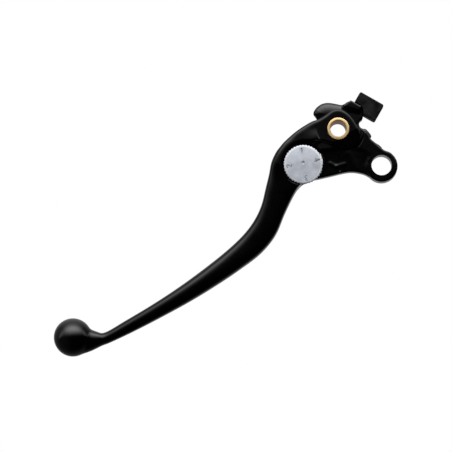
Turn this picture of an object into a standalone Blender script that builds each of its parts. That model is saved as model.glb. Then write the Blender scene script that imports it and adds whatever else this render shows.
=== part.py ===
"""Motorcycle clutch lever with a reach adjuster.

The lever lies flat. The origin is on the axis of the pivot bush at half its height, +X points along
the handlebar away from the ball end, +Y points forward, away from the handlebar, and +Z points along
the pivot axis towards the numbered dial. Sizes in this file are in millimetres, and the helper
functions turn them into metres.

The blade is a fork that turns on the pivot bush, and the knuckle lies between its two jaws. A cam on
the dial's spindle rests on the knuckle's tail, so turning the dial swings the blade away from it.
"""

import math

import bmesh
import bpy
from mathutils import Matrix, Vector

MM = 0.001
ROUND = 40  # sides of a round solid

# Pivot
BUSH_RADIUS = 5.5
BUSH_BORE = 4.0
BUSH_HALF_LENGTH = 9.2
RUNNING_GAP = 0.09
GAP = 0.3

# Heights of the layers, the same above and below the middle
HUB_HALF = 3.7
JAW_INNER = 4.6
SEAT = 7.6
JAW_OUTER = 8.6
BOSS_OUTER = 8.9
EYE_HALF = 5.2
CLIP_SEAT = 6.5

# Blade
BALL_CENTRE = (-165.4, -29.5)
BALL_RADIUS = 9.68
BOSS_RADIUS = 9.2
SQUARENESS = 2.5

# Knuckle
HUB_RADIUS = 10.4
EYE_CENTRE = (10.7, -26.0)
EYE_BORE = 5.05
EYE_RING_CENTRE = (10.6, -26.4)
EYE_RING_RADIUS = 7.9
JAW_SWEEP_RADIUS = 13.0
SPRING_POCKET = (6.9, 8.95)
SPRING_POCKET_TOP = 1.5

# Adjuster
DIAL_CENTRE = (-23.9, -7.7)
DIAL_RADIUS = 9.75
DIAL_BOTTOM = 7.9
DIAL_TOP = 10.5
DIAL_TEETH = 40
DIAL_TOOTH_DEPTH = 0.35
SPINDLE_RADIUS = 2.5
SPINDLE_END = 8.4
SPINDLE_TOP = 9.2
CLIP_GROOVE = (-8.3, -7.65)
CLIP_GROOVE_RADIUS = 2.0
CAM_SMALL = 3.6
CAM_LARGE = 7.4
CAM_TURN = 270.0
CAM_HALF = 4.1
CAM_PIN_ANGLE = 21.0
CAM_PIN_RADIUS = 0.65
CAM_PIN_HOLE = 0.75
CAM_PIN_HALF = 3.3
SLOT_RADIUS = 8.8
SLOT_SIDE = -28.0
CLIP_SEAT_RADIUS = 5.2
CLIP_RADIUS = 4.1
CLIP_MOUTH = 40.0

# Washers: outer radius, lower and upper face
THRUST_WASHER = (9.0, 3.98, 4.34)
LOWER_THRUST_WASHER = (6.75, -4.34, -3.98)
WAVE_WASHER = (4.6, -7.0, -6.75)
SPINDLE_WASHER = (4.8, -7.55, -7.2)
WASHER_GAP = 0.2

# Detent of the dial
DETENT_RADIUS = 6.3
DETENT_ANGLE = 150.0
DETENT_HOLE = 1.1
DETENT_FLOOR = 5.1
BALL_BEARING_RADIUS = 1.0
BALL_BEARING_Z = 7.45

# Return spring
SPRING_RADIUS = 7.92
SPRING_WIRE = 0.55
SPRING_TURNS = 3.0
SPRING_TOP = 0.75
SPRING_PITCH = 1.28
SPRING_LEG_ANGLE = 200.0
SPRING_LEG_END = -6.6
SPRING_LEG_HOLE = 1.5
REACH_RANGE = 9.0

# Follower pin in the knuckle's tail
FOLLOWER_RADIUS = 1.15
FOLLOWER_PLACE = (-23.9, -12.75)

# Rest buffer: a block set square to a line rising at BUFFER_TILT from +X
BUFFER_CORNER = (10.8, 6.5)
BUFFER_TILT = 32.3
BUFFER_LENGTH = 13.6
BUFFER_DEPTH = 9.5
BUFFER_HALF = 4.8
BUFFER_EDGE = 0.9
TANG_HALF = 2.0
TANG_ALONG = (1.6, 6.2)
TANG_DEPTH = 7.4
NOTCH_ALONG = 7.1
NOTCH_DEPTH = 3.8
ARM_TOP = 4.9
ARM_SWEEP_RADIUS = 10.8
BUFFER_PIN_PLACE = (3.9, 4.2)
BUFFER_PIN_HOLE = 1.1


# ---------------------------------------------------------------- scene and helpers


def clear_scene():
    """Start from an empty scene."""
    for item in list(bpy.data.objects):
        bpy.data.objects.remove(item, do_unlink=True)


def new_collection(name):
    """A collection in the scene."""
    collection = bpy.data.collections.new(name)
    bpy.context.scene.collection.children.link(collection)
    return collection


def new_material(name, colour, roughness, metallic):
    """A Principled material of one colour."""
    material = bpy.data.materials.new(name)
    material.use_nodes = True
    shader = material.node_tree.nodes["Principled BSDF"]
    shader.inputs["Base Color"].default_value = (*colour, 1.0)
    shader.inputs["Roughness"].default_value = roughness
    shader.inputs["Metallic"].default_value = metallic
    return material


def add_empty(name, at=(0.0, 0.0), parent=None):
    """An empty on a joint's axis."""
    empty = bpy.data.objects.new(name, None)
    empty.empty_display_size = 0.01
    PARTS.objects.link(empty)
    empty.parent = parent
    empty.location = (at[0] * MM, at[1] * MM, 0.0)
    return empty


def add_object(name, mesh, parent, cutter=False):
    """Put a mesh in the scene under its empty, as a part or as a cutter."""
    item = bpy.data.objects.new(name, mesh)
    (CUTTERS if cutter else PARTS).objects.link(item)
    item.parent = parent
    if cutter:
        item.hide_render = True
        item.display_type = "WIRE"
    return item


def polar(radius, degrees, centre=(0.0, 0.0)):
    """The point at this radius and angle from a centre."""
    angle = math.radians(degrees)
    return (centre[0] + radius * math.cos(angle), centre[1] + radius * math.sin(angle))


def arc(centre, radius, start, end, steps):
    """Points along an arc, both ends included."""
    return [polar(radius, start + (end - start) * i / steps, centre) for i in range(steps + 1)]


def smooth_through(points, steps, closed=False):
    """Points on a smooth curve through the given ones, of any dimension."""
    count = len(points)
    spans = count if closed else count - 1
    result = []
    for i in range(spans):
        if closed:
            around = [Vector(points[(i + k) % count]) for k in (-1, 0, 1, 2)]
        else:
            around = [Vector(points[min(max(i + k, 0), count - 1)]) for k in (-1, 0, 1, 2)]
        before, here, there, after = around
        for s in range(steps):
            t = s / steps
            result.append(
                0.5
                * (
                    2 * here
                    + (there - before) * t
                    + (2 * before - 5 * here + 4 * there - after) * t**2
                    + (3 * here - before - 3 * there + after) * t**3
                )
            )
    if not closed:
        result.append(Vector(points[-1]))
    return [tuple(point) for point in result]


def curve_to_mesh(name, curve, parent, cutter):
    """Replace a curve by the closed mesh that it draws."""
    drawn = bpy.data.objects.new(name + "_curve", curve)
    PARTS.objects.link(drawn)
    drawn.parent = parent
    bpy.context.view_layer.update()
    evaluated = drawn.evaluated_get(bpy.context.evaluated_depsgraph_get())
    mesh = bpy.data.meshes.new_from_object(evaluated)
    solid = bmesh.new()
    solid.from_mesh(mesh)
    bmesh.ops.remove_doubles(solid, verts=solid.verts, dist=0.000002)
    bmesh.ops.recalc_face_normals(solid, faces=solid.faces)
    solid.to_mesh(mesh)
    solid.free()
    mesh.name = name
    mesh.materials.clear()
    item = add_object(name, mesh, parent, cutter)
    item.matrix_world = drawn.matrix_world
    bpy.data.objects.remove(drawn, do_unlink=True)
    return item


def outline_solid(name, points, low, high, parent, rounding=0.0, cutter=False):
    """A flat outline raised from low to high, with rounded edges if asked."""
    curve = bpy.data.curves.new(name, "CURVE")
    curve.dimensions = "2D"
    curve.fill_mode = "BOTH"
    curve.extrude = ((high - low) / 2 - rounding) * MM
    curve.bevel_depth = rounding * MM
    curve.bevel_resolution = 1
    curve.offset = -rounding * MM
    spline = curve.splines.new("POLY")
    spline.points.add(len(points) - 1)
    for point, (x, y) in zip(spline.points, points):
        point.co = (x * MM, y * MM, 0.0, 1.0)
    spline.use_cyclic_u = True
    item = curve_to_mesh(name, curve, parent, cutter)
    item.data.transform(Matrix.Translation((0.0, 0.0, (low + high) / 2 * MM)))
    return item


def cylinder(name, radius, low, high, parent, at=(0.0, 0.0), top_radius=None, cutter=False, sides=ROUND):
    """An upright cylinder or cone."""
    solid = bmesh.new()
    bmesh.ops.create_cone(
        solid,
        cap_ends=True,
        segments=sides,
        radius1=radius * MM,
        radius2=(radius if top_radius is None else top_radius) * MM,
        depth=(high - low) * MM,
        matrix=Matrix.Translation((at[0] * MM, at[1] * MM, (low + high) / 2 * MM)),
    )
    mesh = bpy.data.meshes.new(name)
    solid.to_mesh(mesh)
    solid.free()
    return add_object(name, mesh, parent, cutter)


def sphere(name, radius, centre, parent, rings, sides, cutter=False):
    """A ball."""
    solid = bmesh.new()
    bmesh.ops.create_uvsphere(
        solid,
        u_segments=sides,
        v_segments=rings,
        radius=radius * MM,
        matrix=Matrix.Translation(Vector(centre) * MM),
    )
    mesh = bpy.data.meshes.new(name)
    solid.to_mesh(mesh)
    solid.free()
    return add_object(name, mesh, parent, cutter)


def ring(name, profile, parent, cutter=False, steps=ROUND):
    """A closed profile of (radius, z) points turned about Z; it runs top to bottom outside."""
    mesh = bpy.data.meshes.new(name)
    count = len(profile)
    verts = [(radius * MM, 0.0, z * MM) for radius, z in profile]
    mesh.from_pydata(verts, [(i, (i + 1) % count) for i in range(count)], [])
    item = add_object(name, mesh, parent, cutter)
    screw = item.modifiers.new("turn", "SCREW")
    screw.steps = steps
    screw.render_steps = steps
    screw.use_merge_vertices = True
    screw.merge_threshold = 0.000005
    return item


def boolean(item, operation, others):
    """Cut or join the others, one by one."""
    for other in others:
        step = item.modifiers.new(other.name, "BOOLEAN")
        step.operation = operation
        step.object = other
        step.solver = "EXACT"


def wire(name, points, radius, parent, resolution=2):
    """A round wire along the points, with closed ends."""
    curve = bpy.data.curves.new(name, "CURVE")
    curve.dimensions = "3D"
    curve.bevel_depth = radius * MM
    curve.bevel_resolution = resolution
    curve.use_fill_caps = True
    spline = curve.splines.new("POLY")
    spline.points.add(len(points) - 1)
    for point, (x, y, z) in zip(spline.points, points):
        point.co = (x * MM, y * MM, z * MM, 1.0)
    return curve_to_mesh(name, curve, parent, False)


def finish_part(item, material, sharp=35.0):
    """Give a part its material and smooth shading."""
    item.data.materials.clear()
    item.data.materials.append(material)
    item.data.shade_smooth()
    item.data.set_sharp_from_angle(angle=math.radians(sharp))


# ---------------------------------------------------------------- lever blade

# Finger-side point, bar-side point and half height, from the ball to the head
BLADE_STATIONS = [
    (-165.0, -22.2, -165.0, -38.9, 6.4),
    (-160.8, -23.1, -160.5, -39.4, 6.0),
    (-156.8, -28.4, -157.0, -40.0, 5.1),
    (-153.6, -32.4, -154.0, -40.3, 4.5),
    (-150.0, -34.8, -150.4, -40.5, 4.2),
    (-138.0, -34.4, -138.0, -41.1, 4.6),
    (-122.3, -33.6, -122.0, -41.3, 5.3),
    (-106.6, -32.1, -106.0, -41.1, 6.0),
    (-92.0, -30.0, -90.5, -40.2, 6.6),
    (-78.0, -27.4, -75.5, -38.6, 7.0),
    (-66.9, -24.4, -62.9, -36.4, 7.3),
    (-58.8, -20.7, -52.4, -32.0, 7.6),
    (-51.8, -15.6, -43.3, -24.7, 7.9),
    (-45.3, -8.4, -36.3, -19.6, 8.2),
    (-41.4, -4.1, -32.8, -17.2, 8.3),
]

HEAD_OUTLINE = [
    (-46.5, -11.5),
    (-42.7, -5.7),
    (-37.4, 1.0),
    (-33.2, 4.3),
    (-26.9, 7.2),
    (-19.0, 8.8),
    (-10.8, 9.5),
    (-6.4, 8.9),
    (-2.4, 9.1),
    (2.2, 9.7),
    (5.9, 8.0),
    (8.5, 3.4),
    (9.3, -2.9),
    (8.6, -7.6),
    (5.8, -10.7),
    (2.5, -11.6),
    (-1.0, -10.8),
    (-5.0, -8.5),
    (-9.3, -6.9),
    (-13.2, -5.6),
    (-14.9, -8.6),
    (-17.5, -12.6),
    (-21.2, -15.2),
    (-24.6, -15.7),
    (-28.0, -15.4),
    (-31.6, -16.5),
    (-36.0, -19.2),
]

# The region of the upper jaw that is milled down to the dial's seat
SEAT_OUTLINE = [
    (-30.2, 1.9),
    (-26.8, 3.7),
    (-23.2, 4.2),
    (-19.8, 3.7),
    (-16.8, 2.5),
    (-13.6, 0.7),
    (-10.6, -1.3),
    (-8.9, -4.3),
    (-6.2, -7.0),
    (-3.2, -8.7),
    (-2.0, -13.0),
    (-10.0, -24.0),
    (-24.0, -24.0),
    (-31.6, -21.0),
    (-33.9, -16.0),
    (-35.4, -11.0),
    (-35.4, -6.0),
    (-33.6, -1.6),
]


def blade_loft(name, parent):
    """The grip of the blade: rounded sections lofted along its stations."""
    around = 20
    solid = bmesh.new()
    rings = []
    for x1, y1, x2, y2, half in smooth_through(BLADE_STATIONS, 2):
        front = Vector((x1, y1, 0.0))
        rear = Vector((x2, y2, 0.0))
        middle = (front + rear) / 2
        across = (front - rear) / 2
        loop = []
        for i in range(around):
            angle = 2 * math.pi * i / around
            c, s = math.cos(angle), math.sin(angle)
            u = math.copysign(abs(c) ** (2 / SQUARENESS), c)
            w = math.copysign(abs(s) ** (2 / SQUARENESS), s)
            loop.append(solid.verts.new((middle + across * u + Vector((0, 0, half * w))) * MM))
        rings.append(loop)
    for one, two in zip(rings, rings[1:]):
        for i in range(around):
            k = (i + 1) % around
            solid.faces.new((one[i], one[k], two[k], two[i]))
    solid.faces.new(rings[0])
    solid.faces.new(rings[-1])
    bmesh.ops.recalc_face_normals(solid, faces=solid.faces)
    mesh = bpy.data.meshes.new(name)
    solid.to_mesh(mesh)
    solid.free()
    return add_object(name, mesh, parent)


def make_blade(parent, dial_axis, material):
    """The cast blade: ball end, grip and a forked head."""
    blade = blade_loft("lever_blade", parent)
    ball = sphere("ball_end", BALL_RADIUS, (*BALL_CENTRE, 0.0), parent, 16, 28, cutter=True)
    outline = smooth_through(HEAD_OUTLINE, 2, closed=True)
    head = outline_solid("head_block", outline, -JAW_OUTER, JAW_OUTER, parent, 0.9, cutter=True)
    boss = cylinder("pivot_boss", BOSS_RADIUS, -BOSS_OUTER, BOSS_OUTER, parent, cutter=True)
    boolean(blade, "UNION", [ball, head, boss])

    top = DIAL_TOP + 2.0
    outline = smooth_through(SEAT_OUTLINE, 2, closed=True)
    seat = outline_solid("seat_cut", outline, SEAT, top, parent, cutter=True)
    slot_end = cylinder("slot_end", SLOT_RADIUS, -JAW_INNER, JAW_INNER, dial_axis, cutter=True)
    x, y = DIAL_CENTRE
    outline = [(SLOT_SIDE, -30.0), (30.0, -30.0), (30.0, 25.0), (x, 25.0), (x, y), (SLOT_SIDE, y)]
    slot = outline_solid("slot", outline, -JAW_INNER, JAW_INNER, parent, cutter=True)
    pivot_bore = cylinder("pivot_bore", BUSH_RADIUS + RUNNING_GAP, -top, top, parent, cutter=True)
    spindle_bore = cylinder("spindle_bore", SPINDLE_RADIUS + RUNNING_GAP, -top, top, dial_axis, cutter=True)
    clip_seat = cylinder("clip_seat", CLIP_SEAT_RADIUS, -top, -CLIP_SEAT, dial_axis, cutter=True)
    place = detent_place()
    detent = cylinder("detent_hole", DETENT_HOLE, DETENT_FLOOR, top, parent, place, cutter=True, sides=20)
    place = polar(SPRING_RADIUS, SPRING_LEG_ANGLE + REACH_RANGE / 2)
    low, high = SPRING_LEG_END - 0.6, -JAW_INNER + 1.0
    leg = cylinder("spring_leg_hole", SPRING_LEG_HOLE, low, high, parent, place, cutter=True, sides=20)
    boolean(blade, "DIFFERENCE", [seat, slot, slot_end, pivot_bore, spindle_bore, clip_seat, detent, leg])
    finish_part(blade, material)


def detent_place():
    """Where the detent's hole is drilled in the upper jaw."""
    return polar(DETENT_RADIUS, DETENT_ANGLE, DIAL_CENTRE)


# ---------------------------------------------------------------- knuckle

KNUCKLE_OUTLINE = [
    (-26.6, -13.4),
    (-25.4, -12.1),
    (-20.0, -12.1),
    (-16.2, -11.9),
    (-14.0, -10.2),
    (-13.2, -6.5),
    (-11.4, -1.5),
    (-9.4, 4.5),
    (-6.9, 9.6),
    (-7.1, 12.8),
    (-5.3, 14.5),
    (-2.6, 15.3),
    (0.0, 15.2),
    (2.6, 14.1),
    (5.4, 12.0),
    (8.0, 10.0),
    (12.2, 9.8),
    (15.9, 4.7),
    (13.6, -0.7),
    (11.2, -1.6),
    (10.3, -3.6),
    (11.2, -5.4),
    (12.5, -6.3),
    (13.2, -10.3),
    (12.2, -11.4),
    (12.9, -13.6),
    (14.8, -20.0),
    (5.5, -30.8),
    (3.4, -29.2),
    (1.0, -25.7),
    (-3.2, -22.3),
    (-7.4, -20.5),
    (-13.9, -18.8),
    (-18.8, -17.5),
    (-23.0, -16.2),
    (-26.0, -15.2),
]

EYE_ARM_OUTLINE = [
    (9.4, -6.4),
    (12.0, -8.0),
    (12.1, -11.6),
    (13.0, -14.0),
    (15.2, -19.6),
    (17.8, -24.0),
    (11.0, -30.0),
    (4.6, -29.2),
    (4.4, -22.6),
    (7.2, -19.0),
    (6.6, -15.6),
    (2.6, -12.6),
    (2.0, -9.0),
]


# The raised end of the arm that carries the buffer
BUFFER_ARM_OUTLINE = [
    (7.4, 9.3),
    (11.9, 9.4),
    (15.4, 4.7),
    (13.5, 1.3),
    (9.6, 2.6),
]


def buffer_frame():
    """The block's directions: along its long side, and outward from the knuckle."""
    outward = Vector((math.cos(math.radians(BUFFER_TILT)), math.sin(math.radians(BUFFER_TILT)), 0.0))
    along = Vector((outward.y, -outward.x, 0.0))
    return along, outward


def buffer_point(along_mm, outward_mm):
    """A plan point measured from the block's inner front corner."""
    along, outward = buffer_frame()
    point = Vector((*BUFFER_CORNER, 0.0)) + along * along_mm + outward * outward_mm
    return (point.x, point.y)


def buffer_box(start, end, inner, outer):
    """A rectangle measured in the block's directions."""
    corners = ((start, inner), (end, inner), (end, outer), (start, outer))
    return [buffer_point(*corner) for corner in corners]


def make_knuckle(parent, material):
    """The carrier that the blade turns on: hub, forward lobe, tail, buffer arm and pushrod eye."""
    outline = smooth_through(KNUCKLE_OUTLINE, 2, closed=True)
    knuckle = outline_solid("knuckle", outline, -HUB_HALF, HUB_HALF, parent, 0.5)
    outline = smooth_through(EYE_ARM_OUTLINE, 2, closed=True)
    arm = outline_solid("eye_arm", outline, -EYE_HALF, EYE_HALF, parent, 0.5, cutter=True)
    top = EYE_HALF + 2
    face = HUB_HALF - 0.2
    sweep = cylinder("jaw_sweep", JAW_SWEEP_RADIUS, face, top, parent, cutter=True)
    sweep_below = cylinder("jaw_sweep_below", JAW_SWEEP_RADIUS, -top, -face, parent, cutter=True)
    boolean(arm, "DIFFERENCE", [sweep, sweep_below])
    block = outline_solid("buffer_arm", BUFFER_ARM_OUTLINE, 0.0, ARM_TOP, parent, 0.4, cutter=True)
    clear = cylinder("arm_sweep", ARM_SWEEP_RADIUS, face, top, parent, cutter=True)
    boolean(block, "DIFFERENCE", [clear])
    eye = cylinder("eye_ring", EYE_RING_RADIUS, -EYE_HALF, EYE_HALF, parent, EYE_RING_CENTRE, cutter=True)
    outline = buffer_box(*TANG_ALONG, -1.0, TANG_DEPTH)
    tang = outline_solid("buffer_tang", outline, -TANG_HALF, TANG_HALF, parent, cutter=True)
    boolean(knuckle, "UNION", [arm, block, eye, tang])

    inner, outer = SPRING_POCKET
    profile = [(inner, SPRING_POCKET_TOP), (outer, SPRING_POCKET_TOP), (outer, -top), (inner, -top)]
    pocket = ring("spring_pocket", profile, parent, cutter=True)
    place = polar(SPRING_RADIUS, SPRING_LEG_ANGLE)
    leg = cylinder("spring_anchor", SPRING_WIRE + 0.25, 0.0, top, parent, place, cutter=True, sides=16)
    bore = cylinder("hub_bore", BUSH_RADIUS + RUNNING_GAP, -top, top, parent, cutter=True)
    hole = cylinder("eye_bore", EYE_BORE, -top, top, parent, EYE_CENTRE, cutter=True)
    place = buffer_point(*BUFFER_PIN_PLACE)
    pin = cylinder("buffer_pin_hole", BUFFER_PIN_HOLE, -top, top, parent, place, cutter=True, sides=20)
    groove = FOLLOWER_RADIUS + RUNNING_GAP
    follower = cylinder("follower_groove", groove, -top, top, parent, FOLLOWER_PLACE, cutter=True, sides=24)
    boolean(knuckle, "DIFFERENCE", [pocket, leg, bore, hole, pin, follower])
    finish_part(knuckle, material)


def make_buffer(parent, rubber, steel):
    """The moulded rest buffer on the knuckle's tang, and the roll pin that holds it."""
    far, deep = BUFFER_LENGTH - BUFFER_EDGE, BUFFER_DEPTH - BUFFER_EDGE
    corners = ((BUFFER_EDGE, BUFFER_EDGE), (far, BUFFER_EDGE), (far, deep), (BUFFER_EDGE, deep))
    rounded = []
    for i, corner in enumerate(corners):
        start = 180.0 + 90.0 * i
        rounded += arc(corner, BUFFER_EDGE, start, start + 90.0, 3)
    outline = [buffer_point(*point) for point in rounded]
    block = outline_solid("rest_buffer", outline, -BUFFER_HALF, BUFFER_HALF, parent, 0.5)
    low, high = -HUB_HALF - GAP, BUFFER_HALF + 2
    outline = buffer_box(-3.0, NOTCH_ALONG, -4.0, NOTCH_DEPTH)
    arm = outline_solid("buffer_notch", outline, low, high, parent, cutter=True)
    start, end = TANG_ALONG
    outline = buffer_box(start - GAP, end + GAP, -3.0, TANG_DEPTH + GAP)
    height = TANG_HALF + GAP
    socket = outline_solid("buffer_socket", outline, -height, height, parent, cutter=True)
    place = buffer_point(*BUFFER_PIN_PLACE)
    low = -BUFFER_HALF - 2
    hole = cylinder("buffer_pin_bore", BUFFER_PIN_HOLE, low, 0.0, parent, place, cutter=True, sides=20)
    boolean(block, "DIFFERENCE", [arm, socket, hole])
    finish_part(block, rubber)
    inner, outer, low, high = 0.45, BUFFER_PIN_HOLE - 0.1, -BUFFER_HALF + 0.2, TANG_HALF - 0.4
    pin = ring("buffer_pin", [(inner, high), (outer, high), (outer, low), (inner, low)], parent)
    pin.location = (place[0] * MM, place[1] * MM, 0.0)
    finish_part(pin, steel)


# ---------------------------------------------------------------- pivot pieces


def make_bush(parent, material):
    """The plain brass bush that the whole lever swings on."""
    edge = 0.35
    bush = ring(
        "pivot_bush",
        [
            (BUSH_BORE + edge, BUSH_HALF_LENGTH),
            (BUSH_RADIUS - edge, BUSH_HALF_LENGTH),
            (BUSH_RADIUS, BUSH_HALF_LENGTH - edge),
            (BUSH_RADIUS, -BUSH_HALF_LENGTH + edge),
            (BUSH_RADIUS - edge, -BUSH_HALF_LENGTH),
            (BUSH_BORE + edge, -BUSH_HALF_LENGTH),
            (BUSH_BORE, -BUSH_HALF_LENGTH + edge),
            (BUSH_BORE, BUSH_HALF_LENGTH - edge),
        ],
        parent,
    )
    finish_part(bush, material)


def make_washer(name, shaft, size, parent, material):
    """A flat washer round a shaft of this radius."""
    outer, low, high = size
    inner = shaft + WASHER_GAP
    washer = ring(name, [(inner, high), (outer, high), (outer, low), (inner, low)], parent)
    finish_part(washer, material)


def make_return_spring(parent, material):
    """The torsion spring: one leg in the knuckle, the other in the lower jaw."""
    per_turn = 14
    count = int(SPRING_TURNS * per_turn)
    coil = []
    for i in range(count + 1):
        x, y = polar(SPRING_RADIUS, SPRING_LEG_ANGLE + 360.0 * i / per_turn)
        coil.append((x, y, SPRING_TOP - SPRING_PITCH * i / per_turn))
    first, last = coil[0], coil[-1]
    upper_leg = [(first[0], first[1], SPRING_TOP + 2.3), (first[0], first[1], SPRING_TOP + 0.5)]
    lower_leg = [(last[0], last[1], last[2] - 0.5), (last[0], last[1], SPRING_LEG_END)]
    spring = wire("return_spring", upper_leg + coil[1:-1] + lower_leg, SPRING_WIRE, parent, 1)
    finish_part(spring, material)


# ---------------------------------------------------------------- adjuster


def make_dial(parent, material):
    """The knurled dial, with a groove underneath for the detent ball."""
    outline = []
    for i in range(DIAL_TEETH):
        step = 360.0 / DIAL_TEETH
        outline.append(polar(DIAL_RADIUS, step * (i - 0.28)))
        outline.append(polar(DIAL_RADIUS, step * (i + 0.28)))
        outline.append(polar(DIAL_RADIUS - DIAL_TOOTH_DEPTH, step * (i + 0.5)))
    dial = outline_solid("adjuster_dial", outline, DIAL_BOTTOM, DIAL_TOP, parent)
    width = BALL_BEARING_RADIUS + 0.15
    inner, outer = DETENT_RADIUS - width, DETENT_RADIUS + width
    low, high = DIAL_BOTTOM - 1, BALL_BEARING_Z + BALL_BEARING_RADIUS + 0.12
    profile = [(inner, high), (outer, high), (outer, low), (inner, low)]
    groove = ring("detent_groove", profile, parent, cutter=True)
    socket = cylinder("spindle_socket", SPINDLE_RADIUS + 0.05, low, SPINDLE_TOP + 0.2, parent, cutter=True)
    punch = sphere("punch_mark", 1.2, (0.0, 0.0, DIAL_TOP + 0.7), parent, 8, 16, cutter=True)
    boolean(dial, "DIFFERENCE", [groove, socket, punch])
    finish_part(dial, material)


def make_spindle(parent, material):
    """The steel spindle, pressed into the dial and running through both jaws."""
    low, high = CLIP_GROOVE
    spindle = cylinder("dial_spindle", SPINDLE_RADIUS, -SPINDLE_END, SPINDLE_TOP, parent)
    inner, outer = CLIP_GROOVE_RADIUS, SPINDLE_RADIUS + 1
    profile = [(inner, high), (outer, high), (outer, low), (inner, low)]
    groove = ring("clip_groove", profile, parent, cutter=True)
    hole = cross_cylinder("spindle_pin_hole", CAM_PIN_HOLE, 5.0, parent, cutter=True)
    boolean(spindle, "DIFFERENCE", [groove, hole])
    finish_part(spindle, material)


def cross_cylinder(name, radius, half_length, parent, cutter=False):
    """A cylinder lying through the axis in the middle plane."""
    item = cylinder(name, radius, -half_length, half_length, parent, cutter=cutter, sides=16)
    turn = Matrix.Rotation(math.radians(CAM_PIN_ANGLE), 4, "Z")
    item.data.transform(turn @ Matrix.Rotation(math.pi / 2, 4, "X"))
    return item


def make_cam(parent, material):
    """The spiral cam. Its smallest radius and its flat face the knuckle's tail at rest."""
    steps = 36
    outline = []
    for i in range(steps + 1):
        radius = CAM_SMALL + (CAM_LARGE - CAM_SMALL) * i / steps
        outline.append(polar(radius, -90.0 - CAM_TURN * i / steps))
    flat_ends = 360.0 - math.degrees(math.acos(CAM_SMALL / CAM_LARGE))
    outline += arc((0.0, 0.0), CAM_LARGE, -90.0 - CAM_TURN, -90.0 - flat_ends, 4)[1:]
    cam = outline_solid("adjuster_cam", outline[::-1], -CAM_HALF, CAM_HALF, parent)
    bore = cylinder("cam_bore", SPINDLE_RADIUS + 0.08, -CAM_HALF - 1, CAM_HALF + 1, parent, cutter=True)
    hole = cross_cylinder("cam_pin_hole", CAM_PIN_HOLE, 9.0, parent, cutter=True)
    boolean(cam, "DIFFERENCE", [bore, hole])
    finish_part(cam, material)


def make_circlip(parent, material):
    """The E-clip in the spindle's groove."""
    inner = CLIP_GROOVE_RADIUS + 0.1
    outline = arc((0.0, 0.0), CLIP_RADIUS, CLIP_MOUTH, 360.0 - CLIP_MOUTH, 28)
    outline += arc((0.0, 0.0), inner, 350.0 - CLIP_MOUTH, 10.0 + CLIP_MOUTH, 20)
    clip = outline_solid("retaining_clip", outline, CLIP_GROOVE[0] + 0.1, CLIP_GROOVE[1] - 0.1, parent)
    finish_part(clip, material)


def make_detent(parent, material):
    """The detent ball and the coil spring under it."""
    ball = sphere("detent_ball", BALL_BEARING_RADIUS, (0.0, 0.0, BALL_BEARING_Z), parent, 10, 16)
    finish_part(ball, material)
    per_turn = 10
    turns = 2.5
    low, high = DETENT_FLOOR + 0.22, BALL_BEARING_Z - BALL_BEARING_RADIUS - 0.22
    count = int(turns * per_turn)
    points = []
    for i in range(count + 1):
        x, y = polar(0.7, 360.0 * i / per_turn)
        points.append((x, y, low + (high - low) * i / count))
    spring = wire("detent_spring", points, 0.16, parent, 1)
    finish_part(spring, material)


# ---------------------------------------------------------------- assembly


def main():
    """Build the whole lever."""
    black = new_material("black_paint", (0.012, 0.012, 0.013), 0.42, 0.0)
    brass = new_material("brass", (0.78, 0.56, 0.25), 0.3, 1.0)
    silver = new_material("dial_aluminium", (0.74, 0.75, 0.77), 0.45, 0.9)
    steel = new_material("steel", (0.52, 0.52, 0.54), 0.32, 1.0)
    spring_steel = new_material("spring_steel", (0.2, 0.2, 0.21), 0.35, 1.0)
    rubber = new_material("black_rubber", (0.03, 0.03, 0.032), 0.8, 0.0)
    nylon = new_material("nylon", (0.75, 0.73, 0.66), 0.5, 0.0)

    lever = add_empty("clutch_lever")
    blade_hinge = add_empty("blade_hinge", parent=lever)
    dial_axis = add_empty("dial_axis", DIAL_CENTRE, blade_hinge)
    detent_axis = add_empty("detent_axis", detent_place(), blade_hinge)

    make_knuckle(lever, black)
    make_bush(lever, brass)
    make_buffer(lever, rubber, steel)
    height = HUB_HALF - 0.1
    pin = cylinder("cam_follower_pin", FOLLOWER_RADIUS, -height, height, lever, FOLLOWER_PLACE, sides=24)
    finish_part(pin, steel)
    make_return_spring(lever, spring_steel)
    make_washer("upper_thrust_washer", BUSH_RADIUS, THRUST_WASHER, lever, nylon)
    make_washer("lower_thrust_washer", BUSH_RADIUS, LOWER_THRUST_WASHER, lever, nylon)

    make_blade(blade_hinge, dial_axis, black)
    make_dial(dial_axis, silver)
    make_spindle(dial_axis, steel)
    make_cam(dial_axis, steel)
    finish_part(cross_cylinder("cam_pin", CAM_PIN_RADIUS, CAM_PIN_HALF, dial_axis), steel)
    make_washer("wave_washer", SPINDLE_RADIUS, WAVE_WASHER, dial_axis, spring_steel)
    make_washer("spindle_washer", SPINDLE_RADIUS, SPINDLE_WASHER, dial_axis, steel)
    make_circlip(dial_axis, spring_steel)
    make_detent(detent_axis, steel)


clear_scene()
PARTS = new_collection("clutch_lever")
CUTTERS = new_collection("cutters")
main()
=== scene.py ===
"""Looks of the motorcycle clutch lever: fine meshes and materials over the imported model.

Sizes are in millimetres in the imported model's frame; the helpers turn them into metres.
"""

import math

import bmesh
import bpy
from mathutils import Matrix, Vector


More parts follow.
